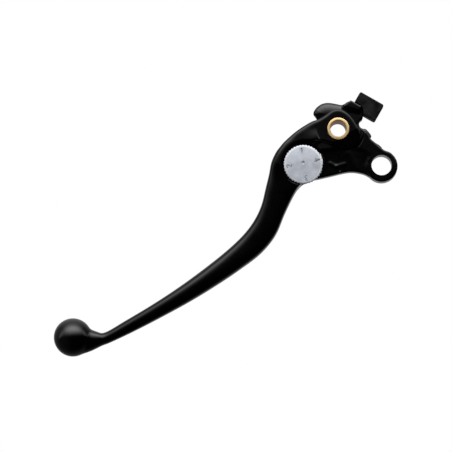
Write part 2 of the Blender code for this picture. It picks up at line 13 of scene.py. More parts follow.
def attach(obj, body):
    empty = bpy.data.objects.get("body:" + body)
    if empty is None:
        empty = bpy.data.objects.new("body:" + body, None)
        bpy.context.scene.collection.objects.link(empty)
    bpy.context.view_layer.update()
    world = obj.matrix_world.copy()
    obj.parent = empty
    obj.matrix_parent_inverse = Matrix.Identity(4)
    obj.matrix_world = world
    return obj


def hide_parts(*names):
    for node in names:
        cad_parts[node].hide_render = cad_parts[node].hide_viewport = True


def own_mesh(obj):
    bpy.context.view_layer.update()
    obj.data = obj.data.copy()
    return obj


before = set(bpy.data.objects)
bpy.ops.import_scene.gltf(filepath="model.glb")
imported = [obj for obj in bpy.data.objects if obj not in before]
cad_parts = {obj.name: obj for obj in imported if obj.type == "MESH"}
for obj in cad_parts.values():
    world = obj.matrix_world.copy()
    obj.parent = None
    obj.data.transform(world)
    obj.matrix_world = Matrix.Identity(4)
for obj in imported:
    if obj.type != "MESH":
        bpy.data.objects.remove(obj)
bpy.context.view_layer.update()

MM = 0.001

# Driving dimensions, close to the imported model's
BALL_CENTRE = (-165.4, -29.5)
BALL_RADIUS = 9.6
BUSH_RADIUS = 5.5
BUSH_BORE = 4.0
BUSH_HALF = 9.2
HUB_HALF = 3.7
JAW_INNER = 4.6
SEAT = 7.6
JAW_OUTER = 8.8
EYE_HALF = 5.2
EYE_CENTRE = (10.7, -26.0)
EYE_BORE = 5.05
EYE_BOSS_CENTRE = (10.6, -26.4)
EYE_BOSS_RADIUS = 7.9
SPINDLE_RADIUS = 2.5
SPINDLE_TOP = 9.2
FOLLOWER_PLACE = (-23.9, -12.75)
FOLLOWER_HOLE = 1.24
SPRING_RADIUS = 7.92
SPRING_LEG_ANGLE = 200.0
RUNNING_FIT = 0.09
DIAL_CENTRE = (-23.9, -7.7)
DIAL_RADIUS = 9.75
DIAL_BOTTOM = 7.9
DIAL_TOP = 10.5
SLOT_END_RADIUS = 8.8
CLIP_POCKET_RADIUS = 5.2
BUFFER_PIN_HOLE = 1.1
CROSS_PIN_TURN = 21.0
# A height well past either face, for cutters
THROUGH = 12.0
FLOOR_Z = -9.75

# The view: the point it looks at, its turn about Z and its tilt, and its right and up directions
VIEW_CENTRE = Vector((-71.917, -16.091, 0.0)) * MM
VIEW_TURN = math.radians(28.0)
VIEW_TILT = math.radians(5.0)
RIGHT = Vector((math.cos(VIEW_TURN), -math.sin(VIEW_TURN), 0.0))
UP = Vector((math.sin(VIEW_TURN), math.cos(VIEW_TURN), 0.0))


# ---------------------------------------------------------------- mesh helpers


def polar(radius, degrees, centre=(0.0, 0.0)):
    """The point at this radius and angle from a centre."""
    angle = math.radians(degrees)
    return (centre[0] + radius * math.cos(angle), centre[1] + radius * math.sin(angle))


def smooth_through(points, steps, closed=False):
    """Points on a smooth curve through the given ones, of any dimension."""
    count = len(points)
    result = []
    for i in range(count if closed else count - 1):
        if closed:
            around = [Vector(points[(i + k) % count]) for k in (-1, 0, 1, 2)]
        else:
            around = [Vector(points[min(max(i + k, 0), count - 1)]) for k in (-1, 0, 1, 2)]
        before, here, there, after = around
        for s in range(steps):
            t = s / steps
            point = 2 * here + (there - before) * t
            point += (2 * before - 5 * here + 4 * there - after) * t**2
            point += (3 * here - before - 3 * there + after) * t**3
            result.append(point / 2)
    if not closed:
        result.append(Vector(points[-1]))
    return [tuple(point) for point in result]


def new_object(name, solid):
    """Turn a bmesh in millimetres into an object in metres, its faces pointing out."""
    bmesh.ops.recalc_face_normals(solid, faces=solid.faces)
    bmesh.ops.scale(solid, vec=(MM, MM, MM), verts=solid.verts)
    mesh = bpy.data.meshes.new(name)
    solid.to_mesh(mesh)
    solid.free()
    item = bpy.data.objects.new(name, mesh)
    bpy.context.scene.collection.objects.link(item)
    return item


def made(name, add, *shape, **more):
    """An object of a single shape."""
    solid = bmesh.new()
    add(solid, *shape, **more)
    return new_object(name, solid)


def add_sweep(solid, rings):
    """Join rings of points into one skin, closed at both ends."""
    loops = [[solid.verts.new(point) for point in ring] for ring in rings]
    count = len(loops[0])
    for one, two in zip(loops, loops[1:]):
        for i in range(count):
            k = (i + 1) % count
            solid.faces.new((one[i], one[k], two[k], two[i]))
    solid.faces.new(loops[0][::-1])
    solid.faces.new(loops[-1])


def add_stack(solid, levels):
    """One skin through flat outlines above each other, given as (outline, z)."""
    add_sweep(solid, [[(x, y, z) for x, y in outline] for outline, z in levels])


def add_prism(solid, outline, low, high):
    """A flat outline raised from low to high."""
    add_stack(solid, ((outline, low), (outline, high)))


def add_turned(solid, profile, steps, centre=(0.0, 0.0)):
    """A closed (radius, z) profile turned about an upright axis."""
    count = len(profile)
    loops = []
    for i in range(steps):
        turn = 360.0 * i / steps
        loops.append([solid.verts.new((*polar(radius, turn, centre), z)) for radius, z in profile])
    for i in range(steps):
        one, two = loops[i], loops[(i + 1) % steps]
        for j in range(count):
            k = (j + 1) % count
            solid.faces.new((one[j], two[j], two[k], one[k]))


def plain_ring(inner, outer, high, low):
    """The profile of a ring with square edges."""
    return [(inner, high), (outer, high), (outer, low), (inner, low)]


def add_spun(solid, profile, steps, centre):
    """A solid turned from a profile that starts and ends on its axis."""
    top = solid.verts.new((*centre, profile[0][1]))
    bottom = solid.verts.new((*centre, profile[-1][1]))
    loops = []
    for radius, z in profile[1:-1]:
        loops.append([solid.verts.new((*polar(radius, 360.0 * i / steps, centre), z)) for i in range(steps)])
    for i in range(steps):
        k = (i + 1) % steps
        solid.faces.new((top, loops[0][i], loops[0][k]))
        solid.faces.new((bottom, loops[-1][k], loops[-1][i]))
        for one, two in zip(loops, loops[1:]):
            solid.faces.new((one[i], two[i], two[k], one[k]))


def add_cylinder(solid, radius, low, high, centre=(0.0, 0.0), top_radius=None, sides=64):
    """An upright cylinder or cone."""
    bmesh.ops.create_cone(
        solid,
        cap_ends=True,
        segments=sides,
        radius1=radius,
        radius2=radius if top_radius is None else top_radius,
        depth=high - low,
        matrix=Matrix.Translation((*centre, (low + high) / 2)),
    )


def applied(item):
    """Apply an object's modifiers."""
    graph = bpy.context.evaluated_depsgraph_get()
    mesh = bpy.data.meshes.new_from_object(item.evaluated_get(graph))
    old = item.data
    item.modifiers.clear()
    item.data = mesh
    bpy.data.meshes.remove(old)
    return item


def remeshed(item, voxel):
    """Fuse an object's overlapping shells into one skin of even facets."""
    step = item.modifiers.new("fuse", "REMESH")
    step.mode = "VOXEL"
    step.voxel_size = voxel * MM
    step.adaptivity = 0.0
    return applied(item)


def carved(item, cutter):
    """Cut the cutter out of an object and drop it."""
    step = item.modifiers.new("carve", "BOOLEAN")
    step.operation = "DIFFERENCE"
    step.solver = "MANIFOLD"
    step.object = cutter
    applied(item)
    bpy.data.objects.remove(cutter, do_unlink=True)
    return item


def cut(item, add, *shape, **more):
    """Cut a single shape out of an object."""
    return carved(item, made("cutter", add, *shape, **more))


def softened(item, repeats, weight=None):
    """Relax a skin, all over or where the weight function of a point in millimetres says."""
    step = item.modifiers.new("soften", "SMOOTH")
    step.factor = 0.5
    step.iterations = repeats
    if weight:
        group = item.vertex_groups.new(name="soften")
        for vert in item.data.vertices:
            amount = weight(vert.co / MM)
            if amount > 0.0:
                group.add([vert.index], min(amount, 1.0), "REPLACE")
        step.vertex_group = "soften"
    applied(item)
    item.vertex_groups.clear()
    return item


def place(item, body, nodes, material, sharp=None):
    """Give a piece its material, shading and body, and hide the CAD parts that it stands for."""
    item.data.materials.clear()
    item.data.materials.append(material)
    item.data.shade_smooth()
    if sharp:
        item.data.set_sharp_from_angle(angle=math.radians(sharp))
    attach(item, body)
    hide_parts(*nodes)
    return item


def inset(outline, amount):
    """A closed outline running anticlockwise, moved inward by an amount."""
    count = len(outline)
    result = []
    for i, (x, y) in enumerate(outline):
        before, after = outline[i - 1], outline[(i + 1) % count]
        along = Vector((after[0] - before[0], after[1] - before[1]))
        if along.length < 1e-6:
            result.append((x, y))
            continue
        along.normalize()
        result.append((x - along.y * amount, y + along.x * amount))
    return result


def anticlockwise(outline):
    """The outline in its anticlockwise order."""
    area = sum(a[0] * b[1] - b[0] * a[1] for a, b in zip(outline, outline[1:] + outline[:1]))
    return outline if area > 0 else outline[::-1]


def add_plate(solid, outline, low, high, rounding):
    """A flat outline with rounded edges at both faces."""
    outline = anticlockwise(outline)
    steps = 4
    levels = []
    for end, way in ((low, 1), (high, -1)):
        part = []
        for i in range(steps + 1):
            angle = math.pi / 2 * i / steps
            z = end + way * rounding * (1 - math.cos(angle))
            part.append((inset(outline, rounding * (1 - math.sin(angle))), z))
        levels += part[::way]
    add_stack(solid, levels)


# ---------------------------------------------------------------- blade

# Finger-side point, bar-side point and half height, from the ball to the head
BLADE_STATIONS = [
    (-165.0, -22.2, -165.2, -39.1, 6.4),
    (-160.8, -23.1, -160.9, -39.8, 6.0),
    (-156.8, -28.4, -157.0, -39.95, 5.1),
    (-153.6, -32.4, -153.9, -40.05, 4.5),
    (-150.0, -34.8, -150.4, -40.5, 4.2),
    (-138.0, -34.4, -138.0, -41.1, 4.6),
    (-122.3, -33.6, -122.0, -41.3, 5.3),
    (-106.6, -32.1, -106.0, -41.1, 6.0),
    (-92.0, -30.0, -90.5, -40.2, 6.6),
    (-78.0, -27.4, -75.5, -38.6, 7.0),
    (-66.9, -24.4, -62.9, -36.4, 7.3),
    (-58.8, -20.7, -52.4, -32.0, 7.7),
    (-51.8, -15.6, -43.3, -24.7, 8.1),
    (-45.3, -8.4, -36.0, -19.3, 8.4),
    (-41.0, -3.6, -31.6, -16.6, 8.5),
    (-37.4, 0.9, -27.5, -14.8, 8.7),
    (-33.2, 4.2, -22.0, -13.0, 8.8),
    (-29.8, 5.9, -19.0, -11.0, 8.8),
]
# How square a section is, by where it lies
SQUARENESS = (
    (-160.0, 2.2), (-150.0, 2.5), (-122.0, 3.0), (-92.0, 3.0), (-77.0, 3.4), (-56.0, 4.5),
    (-44.0, 6.0), (-37.0, 8.0), (-30.0, 12.0), (0.0, 12.0),
)

HEAD_OUTLINE = [
    (-36.4, -1.0), (-33.4, 3.2), (-29.8, 5.6), (-26.9, 7.0), (-19.0, 8.8), (-10.8, 9.5),
    (-6.4, 8.9), (-2.4, 9.1), (2.2, 9.7), (5.9, 8.0), (8.5, 3.4), (9.3, -2.9), (8.6, -7.6),
    (5.8, -10.7), (2.5, -11.6), (-1.0, -10.8), (-5.0, -8.5), (-9.3, -6.9), (-13.2, -5.6),
    (-14.9, -8.6), (-17.5, -12.6), (-21.2, -15.2), (-24.6, -15.7), (-28.0, -15.4), (-31.6, -16.5),
]

# Where the dial's pocket meets the head's face
SEAT_RIM = [
    (-34.1, -6.6), (-33.2, -2.9), (-32.0, -0.3), (-29.5, 2.0), (-26.5, 3.3), (-23.3, 4.1),
    (-19.5, 3.7), (-16.8, 2.5), (-14.2, 1.1), (-11.6, -0.4), (-8.6, -2.6), (-5.8, -5.6),
    (-3.2, -8.0), (-2.0, -13.0), (-10.0, -24.0), (-24.0, -24.0), (-28.2, -20.5), (-29.9, -16.3),
    (-32.4, -13.5), (-33.8, -10.3),
]
SEAT_RADIUS = 9.98
SEAT_LIP = 8.2


def along_stops(value, stops):
    """A quantity read off (place, amount) stops, straight between them."""
    for (a, one), (b, two) in zip(stops, stops[1:]):
        if a <= value <= b:
            return one + (two - one) * (value - a) / (b - a)


def eased(value, start, end):
    """0 before the start and 1 after the end, with a smooth rise between."""
    share = min(max((value - start) / (end - start), 0.0), 1.0)
    return share * share * (3 - 2 * share)


def section(front, rear, half, around):
    """A rounded section of the grip, squarer towards the head."""
    middle, across = (front + rear) / 2, (front - rear) / 2
    squareness = along_stops(max(middle.x, SQUARENESS[0][0]), SQUARENESS)
    loop = []
    for i in range(around):
        angle = 2 * math.pi * i / around
        c, s = math.cos(angle), math.sin(angle)
        u = math.copysign(abs(c) ** (2 / squareness), c)
        w = math.copysign(abs(s) ** (2 / squareness), s)
        loop.append(middle + across * u + Vector((0.0, 0.0, half * w)))
    return loop


# The way the boss's face falls off, towards its bar side and the eye
DISHED = (RIGHT * 0.5 - UP * 0.87).xy
# The finger-side edge towards which the head's faces roll down
CROWN_EDGE = [
    (-50.0, -14.8), (-46.0, -9.2), (-42.7, -5.0), (-37.4, 1.4), (-33.2, 4.6), (-26.9, 7.4),
    (-19.0, 9.0), (-10.8, 9.7), (-5.0, 9.4),
]
CROWN_WIDTH = 2.8
CROWN_DROP = 0.17


def drawn_in(point):
    """A point of the pocket's rim brought in to the dial where it lies round it."""
    away = Vector(point) - Vector(DIAL_CENTRE)
    round_dial = eased(-away.x, -11.0, -8.5) * eased(away.length, 14.5, 13.0)
    distance = away.length + (SEAT_RADIUS - away.length) * round_dial
    return tuple(Vector(DIAL_CENTRE) + away.normalized() * distance)


def crown(point):
    """How far the head's faces are drawn in towards the slot near its finger side."""
    away = min(near_line(point, a, b) for a, b in zip(CROWN_EDGE, CROWN_EDGE[1:]))
    share = min(away / CROWN_WIDTH, 1.0)
    fade = eased(point.x, -52.0, -42.0) * (1.0 - eased(point.x, -12.0, -4.0))
    return 1.0 - fade * CROWN_DROP * (1.0 - math.sqrt(1.0 - (1.0 - share) ** 2))


def face_drop(point):
    """How far the head's faces lie below flat: dished, tipped, and stepped up beside the pivot."""
    low_side = point.x * DISHED.x + point.y * DISHED.y - 4.6
    drop = 0.13 * max(low_side, 0.0) * eased(point.x, -9.0, -5.0)
    fall = 0.025 * eased(point.x, -42.0, -30.0) - 0.014 * eased(point.x, -14.0, -6.0)
    drop += fall * (point.x * UP.x + point.y * UP.y - 3.0)
    turn = math.degrees(math.atan2(point.y, point.x)) % 360.0
    from_pivot = point.xy.length
    beside = eased(turn, 150.0, 174.0) * eased(-turn, -191.0, -184.0) * eased(from_pivot, 10.5, 11.0)
    return drop - 0.32 * beside * eased(-from_pivot, -20.0, -11.2)


def near_line(point, start, end):
    """How far a point lies from a line between two plan points."""
    start, end = Vector(start), Vector(end)
    along = end - start
    share = min(max((point.xy - start).dot(along) / along.length_squared, 0.0), 1.0)
    return (point.xy - start - along * share).length


def make_blade(material):
    """The cast blade as one skin, its edges softened as paint leaves them."""
    voxel = 0.34
    solid = bmesh.new()
    rings = [
        section(Vector((x1, y1, 0.0)), Vector((x2, y2, 0.0)), half, 48)
        for x1, y1, x2, y2, half in smooth_through(BLADE_STATIONS, 6)
    ]
    add_sweep(solid, rings)
    bmesh.ops.create_uvsphere(
        solid,
        u_segments=96,
        v_segments=64,
        radius=BALL_RADIUS,
        matrix=Matrix.Translation((*BALL_CENTRE, 0.0)),
    )
    add_plate(solid, smooth_through(HEAD_OUTLINE, 5), -JAW_OUTER, JAW_OUTER, 1.2)
    blade = remeshed(new_object("blade_casting", solid), voxel)

    rim = smooth_through(SEAT_RIM, 4, closed=True)
    foot = [drawn_in(point) for point in rim]
    cut(blade, add_stack, ((foot, SEAT), (foot, SEAT_LIP), (rim, JAW_OUTER), (rim, THROUGH)))
    slot = [(-28.0, -30.0), (30.0, -30.0), (30.0, 25.0), (DIAL_CENTRE[0], 25.0)]
    slot += [DIAL_CENTRE, (-28.0, DIAL_CENTRE[1])]
    cut(blade, add_prism, slot, -JAW_INNER, JAW_INNER)
    cut(blade, add_cylinder, SLOT_END_RADIUS, -JAW_INNER, JAW_INNER, DIAL_CENTRE)
    cut(blade, add_cylinder, CLIP_POCKET_RADIUS, -THROUGH, -6.5, DIAL_CENTRE)

    remeshed(blade, voxel * 0.9)
    softened(blade, 4)

    for vert in blade.data.vertices:
        point = vert.co / MM
        above = abs(point.z) - JAW_INNER
        if above > 0.0 and point.x > -52.0:
            drop = face_drop(point) * min(above / 3.5, 1.0)
            vert.co.z = math.copysign(JAW_INNER + above * crown(point) - drop, point.z) * MM

    def shoulder(point):
        """1 where the grip runs into the head, 0 on the ball's side and at the dial's pocket."""
        from_dial = (point.xy - Vector(DIAL_CENTRE)).length
        return min((from_dial - 12.5) / 4.0, (point.x + 62.0) / 6.0, (-20.0 - point.x) / 8.0)

    softened(blade, 150, weight=shoulder)
    softened(blade, 12, weight=lambda point: (-50.0 - point.x) / 6.0)

    def neck(point):
        """1 where the ball runs into the grip."""
        return 1.3 - abs((point - Vector((*BALL_CENTRE, 0.0))).length - 10.3) / 1.6

    softened(blade, 40, weight=neck)

    bore = bmesh.new()
    add_cylinder(bore, BUSH_RADIUS + RUNNING_FIT, -THROUGH, THROUGH, sides=96)
    add_cylinder(bore, SPINDLE_RADIUS + RUNNING_FIT, -THROUGH, THROUGH, DIAL_CENTRE)
    carved(blade, new_object("bore_cutter", bore))
    return place(blade, "blade", ["lever_blade"], material, sharp=50)


# ---------------------------------------------------------------- knuckle

KNUCKLE_OUTLINE = [
    (-26.6, -13.4), (-25.4, -12.1), (-20.0, -12.1), (-16.2, -11.9), (-14.0, -10.2), (-13.2, -6.5),
    (-11.4, -1.5), (-9.4, 4.5), (-6.9, 9.6), (-7.1, 12.8), (-5.3, 14.5), (-2.6, 15.3), (0.0, 15.2),
    (2.6, 14.1), (5.4, 12.0), (8.0, 10.0), (12.2, 9.8), (15.9, 4.7), (13.6, -0.7), (11.2, -1.6),
    (10.3, -3.6), (11.2, -5.4), (12.5, -6.3), (13.3, -10.4), (12.2, -11.4), (12.9, -13.6),
    (14.8, -20.0), (5.5, -30.8), (3.4, -29.2), (1.0, -25.7), (-3.2, -22.3), (-7.4, -20.5),
    (-13.9, -18.8), (-18.8, -17.5), (-23.0, -16.2), (-26.0, -15.2),
]

EYE_ARM_OUTLINE = [
    (9.4, -6.4), (12.0, -8.0), (12.1, -11.6), (13.0, -14.0), (15.2, -19.6), (17.8, -24.0),
    (11.0, -30.0), (4.6, -29.2), (4.4, -22.6), (7.2, -19.0), (6.4, -15.6), (3.4, -12.4),
    (2.0, -9.0),
]
JAW_SWEEP_RADIUS = 13.0
BLOCK_SWEEP_RADIUS = 10.8
BLOCK_TOP = 5.05
# The return spring's pocket in the hub: inner and outer radius, and top
SPRING_POCKET = (6.9, 8.95, 1.5)
SPRING_LEG_HOLE = 0.8
BUFFER_CORNER = Vector((10.8, 6.5))
BUFFER_TILT = math.radians(32.3)
BUFFER_LENGTH = 13.6
BUFFER_DEPTH = 9.5
BUFFER_HALF = 4.8
BUFFER_PIN_PLACE = (3.9, 4.2)
BUFFER_OUTWARD = Vector((math.cos(BUFFER_TILT), math.sin(BUFFER_TILT)))
BUFFER_ALONG = Vector((BUFFER_OUTWARD.y, -BUFFER_OUTWARD.x))


def buffer_point(along, outward):
    """A plan point measured from the buffer's inner front corner."""
    point = BUFFER_CORNER + BUFFER_ALONG * along + BUFFER_OUTWARD * outward
    return (point.x, point.y)


def buffer_box(start, end, inner, outer):
    """A rectangle measured in the buffer's directions."""
    corners = ((start, inner), (end, inner), (end, outer), (start, outer))
    return anticlockwise([buffer_point(*corner) for corner in corners])


def bump(distance, width):
    """A soft hump: 1 on its line, fading to 0 at its width."""
    return 0.5 + 0.5 * math.cos(math.pi * min(distance / width, 1.0))


# Cast relief on the web between the hub and the eye: lines, half widths and heights
WEB_RELIEF = [
    ((-1.0, -13.0), (-1.0, -21.5), 2.8, 0.1),
    ((-11.5, -13.0), (-9.6, -15.8), 1.5, 0.15),
    ((-9.6, -15.8), (-5.4, -16.7), 1.5, 0.14),
    ((-9.2, -19.2), (-9.1, -19.1), 0.55, 0.25),
]

# The lobe's edge, and how wide its faces roll down to it
LOBE_EDGE = [
    (-9.4, 4.5), (-6.9, 9.6), (-7.1, 12.8), (-5.3, 14.5), (-2.6, 15.3), (0.0, 15.2), (2.6, 14.1),
    (5.4, 12.0), (7.4, 10.6),
]
LOBE_ROUNDING = 5.6

# The raised block that carries the buffer: its foot and its smaller top
BUFFER_ARM_FOOT = [(5.8, 7.6), (12.4, 9.8), (15.9, 4.7), (12.6, 1.4)]
BUFFER_ARM_TOP = [(7.2, 9.2), (12.5, 10.0), (15.8, 4.8), (13.9, 3.0)]


def lobe_roll(point):
    """How far the lobe's faces are drawn in towards the middle near its rounded edge."""
    if point.y < 6.0 or point.x > 8.0:
        return 1.0
    away = min(near_line(point, a, b) for a, b in zip(LOBE_EDGE, LOBE_EDGE[1:]))
    share = min(away / LOBE_ROUNDING, 1.0)
    fade = min((point.y - 6.0) / 3.0, 1.0)
    return 1.0 - fade * (1.0 - (0.45 + 0.55 * math.sqrt(1.0 - (1.0 - share) ** 2)))



def make_knuckle(material):
    """The carrier: hub, rounded lobe, web, buffer arm, raised eye arm and pushrod eye."""
    voxel = 0.3
    outline = smooth_through(KNUCKLE_OUTLINE, 4, closed=True)
    body = remeshed(made("knuckle_body", add_plate, outline, -HUB_HALF, HUB_HALF, 0.6), voxel)
    low, high = HUB_HALF - 0.15, EYE_HALF + 2
    arm = bmesh.new()
    add_plate(arm, smooth_through(EYE_ARM_OUTLINE, 4, closed=True), -EYE_HALF, EYE_HALF, 0.5)
    for vert in arm.verts:
        if vert.co.z > HUB_HALF:
            vert.co.z += 0.02 * (vert.co.xy.dot(UP.xy) + 14.0)
    arm = new_object("knuckle_arm", arm)
    for bottom, top in ((low, high), (-high, -low)):
        cut(arm, add_cylinder, JAW_SWEEP_RADIUS, bottom, top, sides=160)
    foot, top = anticlockwise(BUFFER_ARM_FOOT), anticlockwise(BUFFER_ARM_TOP)
    levels = [(foot, 0.0), (foot, 3.2), (top, BLOCK_TOP - 0.35)]
    levels += [(inset(top, 0.1), BLOCK_TOP - 0.1), (inset(top, 0.3), BLOCK_TOP)]
    block = made("knuckle_block", add_stack, levels)
    cut(block, add_cylinder, BLOCK_SWEEP_RADIUS, low, high, sides=160)
    solid = bmesh.new()
    for used in (body, arm, block):
        solid.from_mesh(used.data)
        bpy.data.objects.remove(used, do_unlink=True)
    bmesh.ops.scale(solid, vec=(1 / MM, 1 / MM, 1 / MM), verts=solid.verts)
    ring = [polar(EYE_BOSS_RADIUS, 360.0 * i / 96, EYE_BOSS_CENTRE) for i in range(96)]
    add_plate(solid, ring, -EYE_HALF, EYE_HALF, 0.5)
    add_plate(solid, buffer_box(1.6, 6.2, -1.0, 7.4), -2.0, 2.0, 0.3)
    knuckle = remeshed(new_object("knuckle_casting", solid), voxel)

    softened(knuckle, 3)
    for vert in knuckle.data.vertices:
        point = vert.co / MM
        vert.co.z *= lobe_roll(point)
        from_eye = point.xy - Vector(EYE_CENTRE)
        if abs(point.z) > EYE_HALF - 0.6 and from_eye.length < 8.4:
            vert.co.z += 0.03 * min(from_eye.dot(UP.xy), 0.0) * MM
        if HUB_HALF - 0.35 < point.z < HUB_HALF + 0.3:
            lift = sum(h * bump(near_line(point, a, b), w) for a, b, w, h in WEB_RELIEF)
            lift -= 0.04 * max(-9.0 - point.xy.dot(UP.xy), 0.0)
            vert.co.z += lift * MM

    cut(knuckle, add_turned, plain_ring(*SPRING_POCKET, -THROUGH), 96)
    cutter = bmesh.new()
    add_cylinder(cutter, BUSH_RADIUS + RUNNING_FIT, -THROUGH, THROUGH, sides=96)
    add_cylinder(cutter, SPRING_LEG_HOLE, 0.0, THROUGH, polar(SPRING_RADIUS, SPRING_LEG_ANGLE), sides=24)
    add_cylinder(cutter, EYE_BORE, -THROUGH, THROUGH, EYE_CENTRE, sides=96)
    add_cylinder(cutter, BUFFER_PIN_HOLE, -THROUGH, THROUGH, buffer_point(*BUFFER_PIN_PLACE), sides=32)
    add_cylinder(cutter, FOLLOWER_HOLE, -THROUGH, THROUGH, FOLLOWER_PLACE, sides=32)
    carved(knuckle, new_object("knuckle_cutter", cutter))
    return place(knuckle, "carrier", ["knuckle"], material, sharp=50)


def make_buffer(rubber, steel):
    """The moulded rest buffer and the roll pin that holds it on its tang."""
    block = []
    radius = 0.8
    far, deep = BUFFER_LENGTH - radius - 0.05, BUFFER_DEPTH - radius - 0.05
    for i, corner in enumerate(((radius, radius), (far, radius), (far, deep), (radius, deep))):
        for k in range(7):
            block.append(buffer_point(*polar(radius, 180.0 + 90.0 * i + 15.0 * k, corner)))
    buffer = made("rest_buffer_moulding", add_plate, block, -BUFFER_HALF, BUFFER_HALF, 0.5)
    remeshed(buffer, 0.2)
    around = anticlockwise(smooth_through(KNUCKLE_OUTLINE, 4, closed=True))
    cut(buffer, add_prism, inset(around, -0.12), -HUB_HALF - 0.3, BUFFER_HALF + 2)
    cut(buffer, add_prism, buffer_box(1.3, 6.5, -3.0, 7.7), -2.3, 2.3)
    pin_at = buffer_point(*BUFFER_PIN_PLACE)
    cut(buffer, add_cylinder, BUFFER_PIN_HOLE, -BUFFER_HALF - 2, 0.0, pin_at, sides=32)
    softened(buffer, 3)
    place(buffer, "carrier", ["rest_buffer"], rubber, sharp=60)

    low, high = -BUFFER_HALF + 0.2, 1.6
    levels = []
    ends = ((low, 0.6, 0.82), (low + 0.25, 0.45, 1.0), (high - 0.25, 0.45, 1.0), (high, 0.6, 0.82))
    for z, inner, outer in ends:
        outside = [polar(outer, 20.0 + 320.0 * i / 40, pin_at) for i in range(41)]
        inside = [polar(inner, 340.0 - 320.0 * i / 40, pin_at) for i in range(41)]
        levels.append((outside + inside, z))
    pin = made("buffer_roll_pin", add_stack, levels)
    place(pin, "carrier", ["buffer_pin"], steel, sharp=40)


# ---------------------------------------------------------------- pivot pieces


def make_bush(material):
    """The turned brass bush with chamfered ends."""
    edge = 0.38
    half = [
        (BUSH_BORE + edge, BUSH_HALF),
        (BUSH_RADIUS - edge * 0.8, BUSH_HALF),
        (BUSH_RADIUS - edge * 0.25, BUSH_HALF - edge * 0.25),
        (BUSH_RADIUS, BUSH_HALF - edge * 0.9),
    ]
    outside = half + [(radius, -z) for radius, z in half[::-1]]
    inside = [(BUSH_BORE, -BUSH_HALF + edge), (BUSH_BORE, BUSH_HALF - edge)]
    bush = made("pivot_bush_turned", add_turned, outside + inside, 160)
    place(bush, "carrier", ["pivot_bush"], material, sharp=25)


def make_ring(name, body, node, material, size, centre=(0.0, 0.0), edge=0.06, wave=0.0):
    """A thin washer of (inner, outer, low, high), its edges eased, waved three times if asked."""
    inner, outer, low, high = size
    profile = [
        (inner + edge, high), (outer - edge, high), (outer, high - edge), (outer, low + edge),
        (outer - edge, low), (inner + edge, low), (inner, low + edge), (inner, high - edge),
    ]
    solid = bmesh.new()
    add_turned(solid, profile, 144, centre)
    for vert in solid.verts:
        around = math.atan2(vert.co.y - centre[1], vert.co.x - centre[0])
        vert.co.z += wave * math.cos(3 * around)
    place(new_object(name, solid), body, [node], material, sharp=30)


def add_wire(solid, points, radius, sides=12):
    """A round wire along points, its ends closed."""
    points = [Vector(point) for point in points]
    rings = []
    side = None
    for i, point in enumerate(points):
        along = (points[min(i + 1, len(points) - 1)] - points[max(i - 1, 0)]).normalized()
        if side is None:
            side = along.orthogonal().normalized()
        side = (side - along * side.dot(along)).normalized()
        other = along.cross(side)
        turns = [2 * math.pi * k / sides for k in range(sides)]
        rings.append([point + side * radius * math.cos(t) + other * radius * math.sin(t) for t in turns])
    add_sweep(solid, rings)


def make_return_spring(material):
    """The torsion spring in the knuckle's pocket, with an upright leg at each end."""
    per_turn = 48
    count = 3 * per_turn
    coil = []
    for i in range(count + 1):
        x, y = polar(SPRING_RADIUS, SPRING_LEG_ANGLE + 360.0 * i / per_turn)
        coil.append((x, y, 0.75 - 1.28 * i / per_turn))
    first, last = coil[0], coil[-1]
    upper = [(first[0], first[1], z) for z in (3.05, 2.2, 1.5)]
    lower = [(last[0], last[1], z) for z in (last[2] - 0.75, last[2] - 1.5, -6.6)]
    route = smooth_through(upper + coil[3:-3] + lower, 2)
    spring = made("return_spring_wire", add_wire, route, 0.53, 14)
    place(spring, "carrier", ["return_spring"], material, sharp=50)


def make_follower(material):
    """The hard pin that the cam bears on."""
    half = HUB_HALF - 0.12
    profile = [(0.0, half), (0.95, half), (1.12, half - 0.17)]
    profile += [(radius, -z) for radius, z in profile[::-1]]
    pin = made("cam_follower_roller", add_spun, profile, 48, FOLLOWER_PLACE)
    place(pin, "carrier", ["cam_follower_pin"], material, sharp=30)


# ---------------------------------------------------------------- adjuster

# Strokes of the position numbers, in a box 1 high, and the direction of each on the dial
DIGITS = {
    "one": [[(0.02, 0.78), (0.2, 1.0), (0.2, 0.0)]],
    "two": [
        [(0.0, 0.76), (0.1, 0.95), (0.3, 1.0), (0.5, 0.9), (0.5, 0.66), (0.3, 0.38), (0.0, 0.0), (0.55, 0.0)],
    ],
    "three": [
        [(0.0, 0.9), (0.25, 1.0), (0.47, 0.9), (0.48, 0.68), (0.25, 0.53)]
        + [(0.5, 0.38), (0.5, 0.12), (0.25, 0.0), (0.0, 0.1)],
    ],
    "four": [[(0.42, -0.1), (0.42, 1.1)], [(0.38, 1.08), (0.0, 0.3), (0.6, 0.3)]],
}
DIGIT_PLACES = (("one", 66.0), ("two", 159.0), ("three", 255.0), ("four", -10.0))
DIGIT_HEIGHT = 2.5
DIGIT_RADIUS = 7.1
STROKE_RADIUS = 0.19
PUNCH_PLACE = (-23.6, -7.0)
KNURLS = 40
CROSS_HOLE = [(0.0, 9.0), (0.75, 9.0), (0.75, -9.0), (0.0, -9.0)]
CAM_LOW = 3.6
CAM_HIGH = 7.4
CAM_HALF = 4.1
# The ball's groove under the dial: inner and outer radius, and top
DETENT_GROOVE = (5.15, 7.45, 8.57)
DETENT_PLACE = polar(6.3, 150.0, DIAL_CENTRE)
DETENT_BALL_Z = 7.45
# The spindle's groove for its clip, from low to high
CLIP_GROOVE = (-8.3, -7.65)


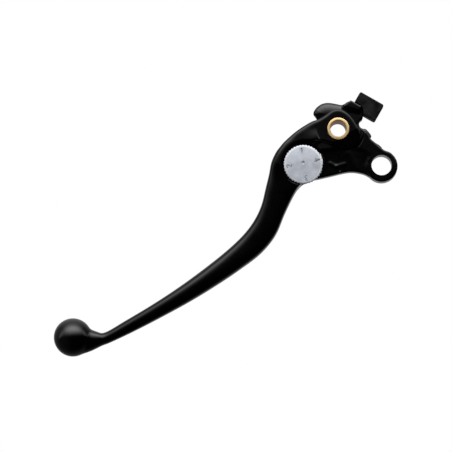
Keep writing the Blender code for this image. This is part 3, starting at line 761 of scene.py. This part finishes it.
def digit_stroke(points, turn):
    """A stroke laid on the dial, its top pointing away from the centre."""
    outward = Vector(polar(1.0, turn))
    right = Vector((outward.y, -outward.x))
    middle = Vector(DIAL_CENTRE) + outward * DIGIT_RADIUS
    placed = []
    for x, y in points:
        point = middle + right * (x - 0.27) * DIGIT_HEIGHT + outward * (y - 0.5) * DIGIT_HEIGHT
        placed.append((point.x, point.y, DIAL_TOP - 0.02))
    return placed


def make_dial(material, ink):
    """The knurled dial with engraved position numbers and a centre punch mark."""
    levels = (
        (DIAL_BOTTOM, 9.2, 0.0), (DIAL_BOTTOM + 0.15, 9.5, 0.3), (DIAL_BOTTOM + 0.35, DIAL_RADIUS, 1.0),
        (DIAL_TOP - 0.55, DIAL_RADIUS, 1.0), (DIAL_TOP - 0.3, 9.55, 0.35),
        (DIAL_TOP - 0.08, 9.25, 0.0), (DIAL_TOP, 9.05, 0.0),
    )
    per_tooth = 10
    rings = []
    for z, radius, depth in levels:
        ring = []
        for i in range(KNURLS * per_tooth):
            wave = abs(math.cos(math.pi * i / per_tooth)) ** 1.5
            turn = 360.0 * i / (KNURLS * per_tooth)
            ring.append((*polar(radius - 0.34 * depth * (1 - wave), turn, DIAL_CENTRE), z))
        rings.append(ring)
    dial = made("adjuster_dial_turned", add_sweep, rings)

    below = DIAL_BOTTOM - 1.0
    cut(dial, add_turned, plain_ring(*DETENT_GROOVE, below), 128, DIAL_CENTRE)
    cut(dial, add_cylinder, SPINDLE_RADIUS + 0.05, below, SPINDLE_TOP + 0.2, DIAL_CENTRE)
    low, high = DIAL_TOP - 0.75, DIAL_TOP + 0.15
    cut(dial, add_cylinder, 0.02, low, high, PUNCH_PLACE, top_radius=1.15, sides=48)
    for name, turn in DIGIT_PLACES:
        for stroke in DIGITS[name]:
            cut(dial, add_wire, digit_stroke(stroke, turn), STROKE_RADIUS, 10)
    place(dial, "adjuster", ["adjuster_dial"], material, sharp=28)
    dial.data.materials.append(ink)
    for face in dial.data.polygons:
        centre = face.center / MM
        from_axis = (centre.xy - Vector(DIAL_CENTRE)).length
        sunk = DIAL_TOP - 0.3 < centre.z < DIAL_TOP - 0.005
        if sunk and 5.0 < from_axis < 8.9:
            face.material_index = 1


def make_spindle(material):
    """The spindle with its clip groove, eased ends and cross hole."""
    low, high, radius = -8.4, SPINDLE_TOP, SPINDLE_RADIUS
    under, over = CLIP_GROOVE
    profile = [
        (0.0, high), (radius - 0.2, high), (radius, high - 0.2), (radius, over), (2.0, over),
        (2.0, under), (radius - 0.1, under), (radius - 0.2, low), (0.0, low),
    ]
    spindle = made("dial_spindle_turned", add_spun, profile, 96, DIAL_CENTRE)
    cut(spindle, add_crosswise, CROSS_HOLE)
    place(spindle, "adjuster", ["dial_spindle"], material, sharp=30)


def add_crosswise(solid, profile):
    """A solid turned from a profile and laid through the dial's axis, where the cam's pin goes."""
    add_spun(solid, profile, 32, (0.0, 0.0))
    turn = Matrix.Rotation(math.radians(CROSS_PIN_TURN), 4, "Z") @ Matrix.Rotation(math.pi / 2, 4, "X")
    bmesh.ops.transform(solid, matrix=Matrix.Translation((*DIAL_CENTRE, 0.0)) @ turn, verts=solid.verts)


def make_cam(material):
    """The spiral cam, its edges eased."""
    steps = 120
    outline = []
    for i in range(steps + 1):
        radius = CAM_LOW + (CAM_HIGH - CAM_LOW) * i / steps
        outline.append(polar(radius, -90.0 - 270.0 * i / steps, DIAL_CENTRE))
    past_rise = 90.0 - math.degrees(math.acos(CAM_LOW / CAM_HIGH))
    for i in range(1, 9):
        outline.append(polar(CAM_HIGH, -360.0 - past_rise * i / 8, DIAL_CENTRE))
    cam = made("adjuster_cam_ground", add_plate, outline, -CAM_HALF, CAM_HALF, 0.12)
    cut(cam, add_cylinder, SPINDLE_RADIUS + 0.08, -THROUGH, THROUGH, DIAL_CENTRE, sides=96)
    cut(cam, add_crosswise, CROSS_HOLE)
    place(cam, "adjuster", ["adjuster_cam"], material, sharp=30)


def make_cam_pin(material):
    """The pin through the spindle and the cam, its ends rounded."""
    profile = [(0.0, 3.3), (0.35, 3.27), (0.57, 3.1), (0.65, 2.85)]
    profile += [(radius, -z) for radius, z in profile[::-1]]
    pin = made("cam_cross_pin", add_crosswise, profile)
    place(pin, "adjuster", ["cam_pin"], material, sharp=40)


def make_clip(material):
    """The E-clip: three lugs in the groove, and an open mouth."""
    outside = [polar(4.1, 40.0 + 280.0 * i / 84, DIAL_CENTRE) for i in range(85)]
    inside = []
    for i in range(97):
        turn = 312.0 - 264.0 * i / 96
        lug = max(bump(abs(turn - at), 22.0) for at in (48.0, 180.0, 312.0))
        inside.append(polar(3.0 - 0.9 * min(1.0, 1.5 * lug), turn, DIAL_CENTRE))
    low, high = CLIP_GROOVE[0] + 0.1, CLIP_GROOVE[1] - 0.1
    levels = ((low, 0.05), (low + 0.05, 0.0), (high - 0.05, 0.0), (high, 0.05))
    clip = made("spindle_clip", add_stack, [(inset(outside + inside, by), z) for z, by in levels])
    place(clip, "adjuster", ["retaining_clip"], material, sharp=30)


def make_detent(steel, spring_steel):
    """The detent ball and its coil spring."""
    x, y = DETENT_PLACE
    solid = bmesh.new()
    middle = Matrix.Translation((x, y, DETENT_BALL_Z))
    bmesh.ops.create_icosphere(solid, subdivisions=4, radius=1.0, matrix=middle)
    place(new_object("detent_bearing", solid), "detent", ["detent_ball"], steel)
    points = []
    for i in range(91):
        across = polar(0.7, 10.0 * i, (x, y))
        points.append((*across, 5.32 + 0.91 * i / 90))
    spring = made("detent_coil", add_wire, points, 0.15, 10)
    place(spring, "blade", ["detent_spring"], spring_steel)
    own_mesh(spring)


# ---------------------------------------------------------------- materials


def add_node(tree, kind, inputs, **settings):
    """A shader node with its settings made and its inputs given values or linked."""
    node = tree.nodes.new(kind)
    for name, value in settings.items():
        setattr(node, name, value)
    for key, value in inputs.items():
        feed(tree, node.inputs[key], value)
    return node


def feed(tree, socket, value):
    """Give an input a value of its own or link another socket to it."""
    if isinstance(value, bpy.types.NodeSocket):
        tree.links.new(value, socket)
    else:
        socket.default_value = value


def worked(tree, operation, first, second):
    """Arithmetic on two values."""
    return add_node(tree, "ShaderNodeMath", {0: first, 1: second}, operation=operation).outputs[0]


def ramp(tree, value, stops):
    """A colour read off (place, colour) stops."""
    node = add_node(tree, "ShaderNodeValToRGB", {"Fac": value})
    elements = node.color_ramp.elements
    while len(elements) < len(stops):
        elements.new(0.5)
    for element, (at, colour) in zip(elements, stops):
        element.position = at
        element.color = (*colour, 1.0)
    return node.outputs["Color"]


class Surface:
    """A Principled material built up node by node."""

    def __init__(self, name):
        self.material = bpy.data.materials.new(name)
        self.material.use_nodes = True
        self.tree = self.material.node_tree
        self.shader = self.tree.nodes["Principled BSDF"]
        self.where = self.tree.nodes.new("ShaderNodeTexCoord").outputs["Object"]

    def noise(self, scale, detail=3.0, roughness=0.55):
        """Noise with a scale in features per metre."""
        inputs = {"Vector": self.where, "Scale": scale, "Detail": detail, "Roughness": roughness}
        return add_node(self.tree, "ShaderNodeTexNoise", inputs).outputs["Fac"]

    def remap(self, value, low, high, to_low, to_high):
        """A value's range moved to another one."""
        inputs = {"Value": value, "From Min": low, "From Max": high, "To Min": to_low, "To Max": to_high}
        return add_node(self.tree, "ShaderNodeMapRange", inputs).outputs["Result"]

    def math(self, operation, first, second):
        """Arithmetic on two values."""
        return worked(self.tree, operation, first, second)

    def colours(self, value, stops):
        """A colour ramp."""
        return ramp(self.tree, value, stops)

    def mixed(self, share, under, colour):
        """A colour laid over another by a value; 6 and 7 are the mix node's colour inputs."""
        inputs = {0: share, 6: under, 7: (*colour, 1.0)}
        return add_node(self.tree, "ShaderNodeMix", inputs, data_type="RGBA").outputs[2]

    def pointiness(self):
        """High on worn edges, low in corners."""
        return self.tree.nodes.new("ShaderNodeNewGeometry").outputs["Pointiness"]

    def distance_from(self, centre):
        """How far a point lies from an upright axis, in metres."""
        kind = "ShaderNodeVectorMath"
        inputs = {0: self.where, 1: (centre[0] * MM, centre[1] * MM, 0.0)}
        away = add_node(self.tree, kind, inputs, operation="SUBTRACT").outputs["Vector"]
        inputs = {0: away, 1: (1.0, 1.0, 0.0)}
        flat = add_node(self.tree, kind, inputs, operation="MULTIPLY").outputs["Vector"]
        return add_node(self.tree, kind, {0: flat}, operation="LENGTH").outputs["Value"]

    def relief(self, *layers):
        """Bump from (height, depth in millimetres) layers."""
        inputs = {"Strength": 1.0}
        for height, depth in layers:
            inputs.update({"Distance": depth * MM, "Height": height})
            inputs["Normal"] = add_node(self.tree, "ShaderNodeBump", inputs).outputs["Normal"]
        self.drive("Normal", inputs["Normal"])

    def drive(self, name, value):
        """Give one of the shader's sockets a value or link one to it."""
        feed(self.tree, self.shader.inputs[name], value)

    def tinted(self, share, colour):
        """Lay a colour over the base colour by a value."""
        under = self.shader.inputs["Base Color"].links[0].from_socket
        self.drive("Base Color", self.mixed(share, under, colour))


def satin_paint(name, dark, light, worn, smooth, rough):
    """Satin black paint over a casting: mottled gloss, fine orange peel, paler along edges."""
    paint = Surface(name)
    cloud = paint.colours(paint.noise(90.0, 5.0), ((0.3, dark), (0.7, light)))
    edge = paint.remap(paint.pointiness(), 0.55, 0.68, 0.0, 0.7)
    speck = paint.remap(paint.noise(900.0, 2.0), 0.35, 0.75, 0.4, 1.0)
    paint.drive("Base Color", paint.mixed(paint.math("MULTIPLY", edge, speck), cloud, worn))
    paint.drive("Roughness", paint.remap(paint.noise(260.0, 4.0), 0.3, 0.7, smooth, rough))
    paint.relief((paint.noise(420.0, 2.0), 0.012), (paint.noise(2600.0, 3.0), 0.0025))
    return paint


def metal(name, colours, smooth, rough, metallic, scale=160.0):
    """A metal with clouded colour and fine scratches."""
    surface = Surface(name)
    cloud = surface.noise(scale, 5.0)
    surface.drive("Base Color", surface.colours(cloud, ((0.3, colours[0]), (0.7, colours[1]))))
    surface.drive("Roughness", surface.remap(surface.noise(700.0, 4.0), 0.3, 0.7, smooth, rough))
    surface.drive("Metallic", metallic)
    surface.relief((surface.noise(3200.0, 3.0), 0.004))
    return surface


def turned_metal(name, centre, colours, smooth, rough, metallic, lines):
    """A turned metal: fine rings round its axis over a cloudy tone."""
    surface = Surface(name)
    inputs = {"W": surface.distance_from(centre), "Scale": lines, "Detail": 4.0}
    ring = add_node(surface.tree, "ShaderNodeTexNoise", inputs, noise_dimensions="1D").outputs["Fac"]
    cloud = surface.noise(150.0, 4.0)
    blend = surface.math("ADD", surface.math("MULTIPLY", cloud, 0.8), surface.math("MULTIPLY", ring, 0.2))
    surface.drive("Base Color", surface.colours(blend, ((0.35, colours[0]), (0.65, colours[1]))))
    surface.drive("Roughness", surface.remap(blend, 0.3, 0.7, smooth, rough))
    surface.drive("Metallic", metallic)
    surface.relief((ring, 0.004), (surface.noise(2400.0, 3.0), 0.003))
    return surface


# Plan points round which the paint shines less, as painted shade: the dial's pocket, and the corner behind
# the eye arm
POCKET_MIDDLE = (-23.7, -6.75)
EYE_ARM_CORNER = (5.9, -20.2)


def make_materials():
    """Every material of the lever."""
    black = ((0.0002, 0.0002, 0.00025), (0.0008, 0.0008, 0.001), (0.006, 0.006, 0.0065))
    blade = satin_paint("blade_black", *black, 0.12, 0.16)
    # Reflection strength set by distance from the ball: 0.5 on the ball, 0.2 past its neck, rising to 0.34
    # along the grip. This is painted light and shade standing in for how the light falls along the lever.
    from_ball = blade.distance_from(BALL_CENTRE)
    along = blade.remap(from_ball, 0.022, 0.08, 0.2, 0.34)
    gloss = blade.math("MAXIMUM", blade.remap(from_ball, 0.012, 0.022, 0.5, 0.0), along)
    # Reflection all but gone round the dial's pocket: painted shade in the recess
    pocket = blade.remap(blade.distance_from(POCKET_MIDDLE), 0.0107, 0.0112, 0.05, 1.0)
    blade.drive("Specular IOR Level", blade.math("MULTIPLY", gloss, pocket))
    knuckle = satin_paint("knuckle_black", *black, 0.13, 0.19)
    # Reflection dimmed in the corner behind the eye arm: painted shade
    corner = knuckle.distance_from(EYE_ARM_CORNER)
    knuckle.drive("Specular IOR Level", knuckle.remap(corner, 0.001, 0.003, 0.12, 0.5))
    rubber = Surface("buffer_black")
    tones = ((0.35, (0.0012, 0.0012, 0.0015)), (0.68, (0.006, 0.006, 0.0066)))
    rubber.drive("Base Color", rubber.colours(rubber.noise(420.0, 6.0, 0.65), tones))
    rubber.drive("Roughness", rubber.remap(rubber.noise(500.0, 4.0), 0.3, 0.7, 0.45, 0.7))
    rubber.drive("Specular IOR Level", rubber.remap(rubber.noise(260.0, 5.0, 0.6), 0.35, 0.65, 0.06, 0.26))
    rubber.relief((rubber.noise(1500.0, 4.0), 0.035))
    nylon = Surface("nylon_natural")
    tones = ((0.3, (0.62, 0.6, 0.52)), (0.7, (0.74, 0.72, 0.65)))
    nylon.drive("Base Color", nylon.colours(nylon.noise(300.0, 4.0), tones))
    nylon.drive("Roughness", nylon.remap(nylon.noise(600.0), 0.3, 0.7, 0.42, 0.55))
    nylon.relief((nylon.noise(1800.0), 0.004))
    tones = ((0.79, 0.53, 0.215), (0.88, 0.66, 0.34))
    brass = turned_metal("brass_turned", (0.0, 0.0), tones, 0.26, 0.38, 0.55, 9000.0)
    # Darker brown and barely reflecting inside the bore: painted shade on the bore's wall
    bore = brass.remap(brass.distance_from((0.0, 0.0)), 0.00403, 0.0042, 1.0, 0.0)
    brass.tinted(bore, (0.4, 0.17, 0.05))
    brass.drive("Specular IOR Level", brass.remap(bore, 0.0, 1.0, 0.5, 0.05))
    tones = ((0.36, 0.385, 0.43), (0.55, 0.57, 0.62))
    dial = turned_metal("dial_anodised", DIAL_CENTRE, tones, 0.42, 0.58, 0.3, 5200.0)
    rim = dial.remap(dial.distance_from(DIAL_CENTRE), 0.0083, 0.0095, 0.0, 0.6)
    dial.tinted(rim, (0.86, 0.87, 0.9))
    ink = metal("dial_ink", ((0.01, 0.01, 0.015), (0.2, 0.2, 0.23)), 0.5, 0.7, 0.0, 900.0)
    steel = metal("steel_zinc", ((0.42, 0.43, 0.45), (0.6, 0.6, 0.62)), 0.25, 0.42, 1.0)
    blued = metal("steel_blued", ((0.08, 0.08, 0.09), (0.2, 0.2, 0.21)), 0.28, 0.42, 1.0)
    looks = {"blade": blade, "knuckle": knuckle, "rubber": rubber, "nylon": nylon, "brass": brass}
    looks.update({"dial": dial, "ink": ink, "steel": steel, "blued": blued})
    return {name: surface.material for name, surface in looks.items()}


# ---------------------------------------------------------------- studio

# The lens and how far off it stands, in millimetres and metres
CAMERA_LENS = 430.9
CAMERA_DISTANCE = 2.7


def aimed(position, target, up=UP):
    """A matrix at a position that looks at a target along its own -Z."""
    back = (position - target).normalized()
    side = up.cross(back).normalized()
    return Matrix.Translation(position) @ Matrix((side, back.cross(side), back)).transposed().to_4x4()


def view_axes():
    """The direction from the lever towards the camera, and the one square to it nearest to UP."""
    upright = Vector((0.0, 0.0, 1.0))
    towards = upright * math.cos(VIEW_TILT) - UP * math.sin(VIEW_TILT)
    across = upright * math.sin(VIEW_TILT) + UP * math.cos(VIEW_TILT)
    return towards, across


def make_camera():
    """A long lens over the lever, tipped a little back towards the handlebar side."""
    data = bpy.data.cameras.new("camera")
    data.lens = CAMERA_LENS
    data.clip_end = 50.0
    camera = bpy.data.objects.new("camera", data)
    bpy.context.scene.collection.objects.link(camera)
    camera.matrix_world = aimed(VIEW_CENTRE + view_axes()[0] * CAMERA_DISTANCE, VIEW_CENTRE)
    bpy.context.scene.camera = camera


def make_overhead():
    """A soft box over the lever that neither the camera nor a reflection sees."""
    data = bpy.data.lights.new("overhead", "AREA")
    data.size = 1.2
    data.energy = 8.0
    light = bpy.data.objects.new("overhead", data)
    bpy.context.scene.collection.objects.link(light)
    position = VIEW_CENTRE + Vector((0.0, 0.0, 1.5)) + UP * 0.3
    light.matrix_world = aimed(position, VIEW_CENTRE, Vector((0.01, 0.02, 1.0)))
    light.visible_camera = False
    light.visible_glossy = False


def show(tree, output, unseen, seen):
    """Send one shader to the camera and another to everything else."""
    to_camera = tree.nodes.new("ShaderNodeLightPath").outputs["Is Camera Ray"]
    mix = add_node(tree, "ShaderNodeMixShader", {0: to_camera, 1: unseen, 2: seen})
    add_node(tree, output, {"Surface": mix.outputs[0]})


def make_floor():
    """A wide white table, lit evenly, that shows less in the paint's reflections."""
    solid = bmesh.new()
    bmesh.ops.create_grid(solid, x_segments=1, y_segments=1, size=4000.0)
    floor = new_object("floor", solid)
    floor.location.z = FLOOR_Z * MM
    material = bpy.data.materials.new("floor_white")
    material.use_nodes = True
    tree = material.node_tree
    tree.nodes.clear()
    dim = add_node(tree, "ShaderNodeEmission", {"Color": (0.93, 0.95, 1.0, 1.0), "Strength": 0.12})
    white = add_node(tree, "ShaderNodeEmission", {"Color": (1.0, 1.0, 1.0, 1.0), "Strength": 1.0})
    show(tree, "ShaderNodeOutputMaterial", dim.outputs[0], white.outputs[0])
    floor.data.materials.append(material)
    floor.visible_glossy = False


# The room's brightness by the angle from the view's direction towards its up direction, in degrees
ROOM_ARC = (
    (-180.0, 0.45), (-139.0, 0.2), (-113.0, 0.1), (-94.0, 0.05), (-80.0, 0.01), (-60.0, 0.0),
    (6.0, 0.0), (11.0, 0.06), (17.0, 0.28), (22.0, 0.7), (28.0, 1.4), (34.0, 2.3), (40.0, 3.2),
    (47.0, 4.1), (53.0, 4.5), (60.0, 4.4), (67.0, 3.8), (74.0, 2.85), (81.0, 1.95), (89.0, 1.3),
    (97.0, 0.95), (106.0, 0.8), (125.0, 0.7), (139.0, 0.68), (180.0, 0.45),
)

# How much of it is left, and what is added, by the distance to either side
ROOM_SIDES = (
    (0.0, 1.0), (0.2, 0.95), (0.37, 0.85), (0.52, 0.68), (0.62, 0.52), (0.69, 0.42), (0.76, 0.27),
    (1.0, 0.2),
)
SIDE_GLOW = (
    (0.0, 0.05), (0.055, 0.06), (0.12, 0.05), (0.2, 0.04), (0.3, 0.02), (0.42, 0.003), (0.5, 0.0),
    (1.0, 0.0),
)
ROOM_PEAK = 4.5
ROOM_ROLL = math.radians(5.0)
ROOM_SHIFT = 0.06


def level(tree, value, stops, scale):
    """A brightness read off stops, with the scale as 1."""
    return ramp(tree, value, [(at, (amount / scale,) * 3) for at, amount in stops])



def make_world():
    """White behind the lever; in its reflections a broad soft light stands over its finger side."""
    world = bpy.data.worlds.new("studio")
    bpy.context.scene.world = world
    world.use_nodes = True
    tree = world.node_tree
    tree.nodes.clear()
    where = tree.nodes.new("ShaderNodeTexCoord").outputs["Generated"]
    towards, across = view_axes()
    rolled_across = across * math.cos(ROOM_ROLL) - RIGHT * math.sin(ROOM_ROLL)
    rolled_right = RIGHT * math.cos(ROOM_ROLL) + across * math.sin(ROOM_ROLL)

    def along(direction):
        inputs = {0: where, 1: direction}
        return add_node(tree, "ShaderNodeVectorMath", inputs, operation="DOT_PRODUCT").outputs["Value"]

    turn = worked(tree, "ARCTAN2", along(rolled_across), along(towards))
    turn = worked(tree, "ADD", worked(tree, "DIVIDE", turn, 2 * math.pi), 0.5)
    arc = level(tree, turn, [(at / 360.0 + 0.5, amount) for at, amount in ROOM_ARC], ROOM_PEAK)
    side = along(rolled_right)
    from_middle = worked(tree, "ABSOLUTE", worked(tree, "SUBTRACT", side, ROOM_SHIFT), 0.0)
    share = level(tree, from_middle, ROOM_SIDES, 1.0)
    side = worked(tree, "ADD", worked(tree, "MULTIPLY", side, 0.5), 0.5)
    glow = level(tree, side, SIDE_GLOW, ROOM_PEAK)
    total = worked(tree, "ADD", worked(tree, "MULTIPLY", arc, share), glow)
    strength = worked(tree, "MULTIPLY", total, ROOM_PEAK)
    room = add_node(tree, "ShaderNodeBackground", {"Color": (0.985, 0.985, 1.0, 1.0), "Strength": strength})
    backdrop = add_node(tree, "ShaderNodeBackground", {"Color": (1.0, 1.0, 1.0, 1.0)})
    show(tree, "ShaderNodeOutputWorld", room.outputs[0], backdrop.outputs[0])


def make_studio():
    """Floor, room, light and camera."""
    make_floor()
    make_world()
    make_overhead()
    bpy.context.scene.view_settings.view_transform = "Standard"
    make_camera()


# ---------------------------------------------------------------- assembly


def main():
    """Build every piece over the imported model, then the studio."""
    looks = make_materials()
    steel, blued, nylon = looks["steel"], looks["blued"], looks["nylon"]
    make_blade(looks["blade"])
    make_knuckle(looks["knuckle"])
    make_buffer(looks["rubber"], steel)
    make_bush(looks["brass"])
    upper = (5.7, 9.0, 3.98, 4.34)
    lower = (5.7, 6.75, -4.34, -3.98)
    make_ring("thrust_ring_upper", "carrier", "upper_thrust_washer", nylon, upper)
    make_ring("thrust_ring_lower", "carrier", "lower_thrust_washer", nylon, lower)
    make_return_spring(blued)
    make_follower(steel)
    make_dial(looks["dial"], looks["ink"])
    make_spindle(steel)
    make_cam(steel)
    make_cam_pin(steel)
    waved = (2.7, 4.6, -6.93, -6.82)
    flat = (2.7, 4.8, -7.55, -7.2)
    make_ring("wave_ring", "adjuster", "wave_washer", blued, waved, DIAL_CENTRE, 0.03, 0.07)
    make_ring("spindle_ring", "adjuster", "spindle_washer", steel, flat, DIAL_CENTRE)
    make_clip(blued)
    make_detent(steel, blued)
    make_studio()


main()
